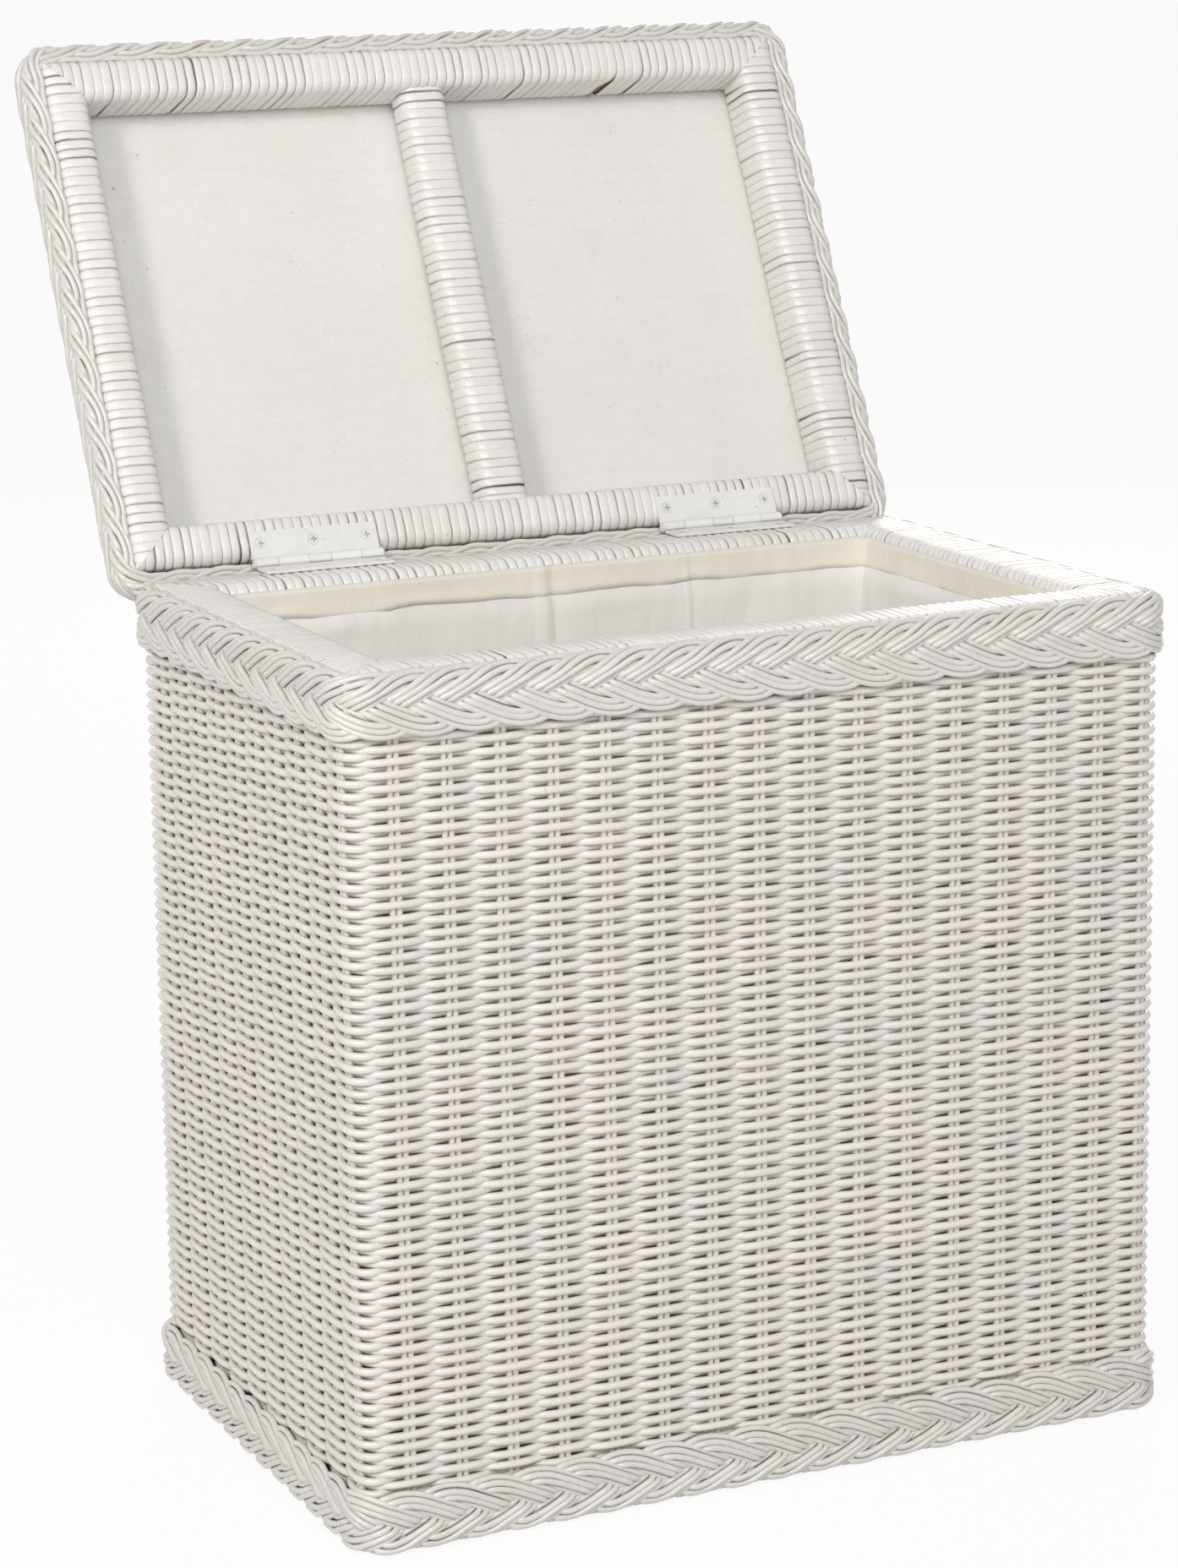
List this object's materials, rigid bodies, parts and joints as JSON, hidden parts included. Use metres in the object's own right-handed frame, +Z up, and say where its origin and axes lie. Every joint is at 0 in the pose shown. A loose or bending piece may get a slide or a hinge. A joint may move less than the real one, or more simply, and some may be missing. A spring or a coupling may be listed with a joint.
{
  "type": "laundry basket",
  "caption": "Rectangular woven wicker laundry hamper with plaited edges, a cane-wound rim, a hinged framed lid standing open and a loose cotton liner.",
  "frame": {"origin": "centre of the foot, on the floor", "axes": "+X to the right seen from the front, +Y to the back where the hinges are, +Z up"},
  "size_m": [0.64, 0.6421, 0.9753],
  "materials": {
    "painted_wicker": "white gloss paint over woven willow",
    "painted_cane": "white gloss paint over wound cane",
    "painted_plywood": "thin white paint with the grain showing",
    "frame_wood": "plain sawn softwood, hidden",
    "cotton": "unbleached plain cotton",
    "painted_steel": "white paint, a little worn on the screws"
  },
  "bodies": {
    "basket": {"base_braid": "painted_wicker", "base_panel": "painted_plywood", "base_rail_back": "frame_wood", "base_rail_front": "frame_wood", "base_rail_left": "frame_wood", "base_rail_right": "frame_wood", "corner_post_back_left": "frame_wood", "corner_post_back_right": "frame_wood", "corner_post_front_left": "frame_wood", "corner_post_front_right": "frame_wood", "hinge_left_pin": "painted_steel", "hinge_left_rim_leaf": "painted_steel", "hinge_right_pin": "painted_steel", "hinge_right_rim_leaf": "painted_steel", "liner_back": "cotton", "liner_bottom": "cotton", "liner_front": "cotton", "liner_left": "cotton", "liner_right": "cotton", "rim_braid": "painted_wicker", "rim_hinge_screws": "painted_steel", "rim_wrap_back": "painted_cane", "rim_wrap_front": "painted_cane", "rim_wrap_left": "painted_cane", "rim_wrap_right": "painted_cane", "top_rail_back": "frame_wood", "top_rail_front": "frame_wood", "top_rail_left": "frame_wood", "top_rail_right": "frame_wood", "wall_back": "painted_wicker", "wall_front": "painted_wicker", "wall_left": "painted_wicker", "wall_right": "painted_wicker"},
    "lid": {"hinge_left_lid_leaf": "painted_steel", "hinge_right_lid_leaf": "painted_steel", "lid_braid": "painted_wicker", "lid_hinge_screws": "painted_steel", "lid_middle_rail": "frame_wood", "lid_middle_wrap": "painted_cane", "lid_panel": "painted_plywood", "lid_rail_back": "frame_wood", "lid_rail_front": "frame_wood", "lid_rail_left": "frame_wood", "lid_rail_right": "frame_wood", "lid_weave": "painted_wicker", "lid_wrap_back": "painted_cane", "lid_wrap_front": "painted_cane", "lid_wrap_left": "painted_cane", "lid_wrap_right": "painted_cane"}
  },
  "joints": [
    {"name": "lid_hinge", "type": "hinge", "parent": "basket", "child": "lid", "pos_m": [0, 0.2044, 0.606], "axis": [1, 0, 0], "range_deg": [0, 117.55]}
  ]
}
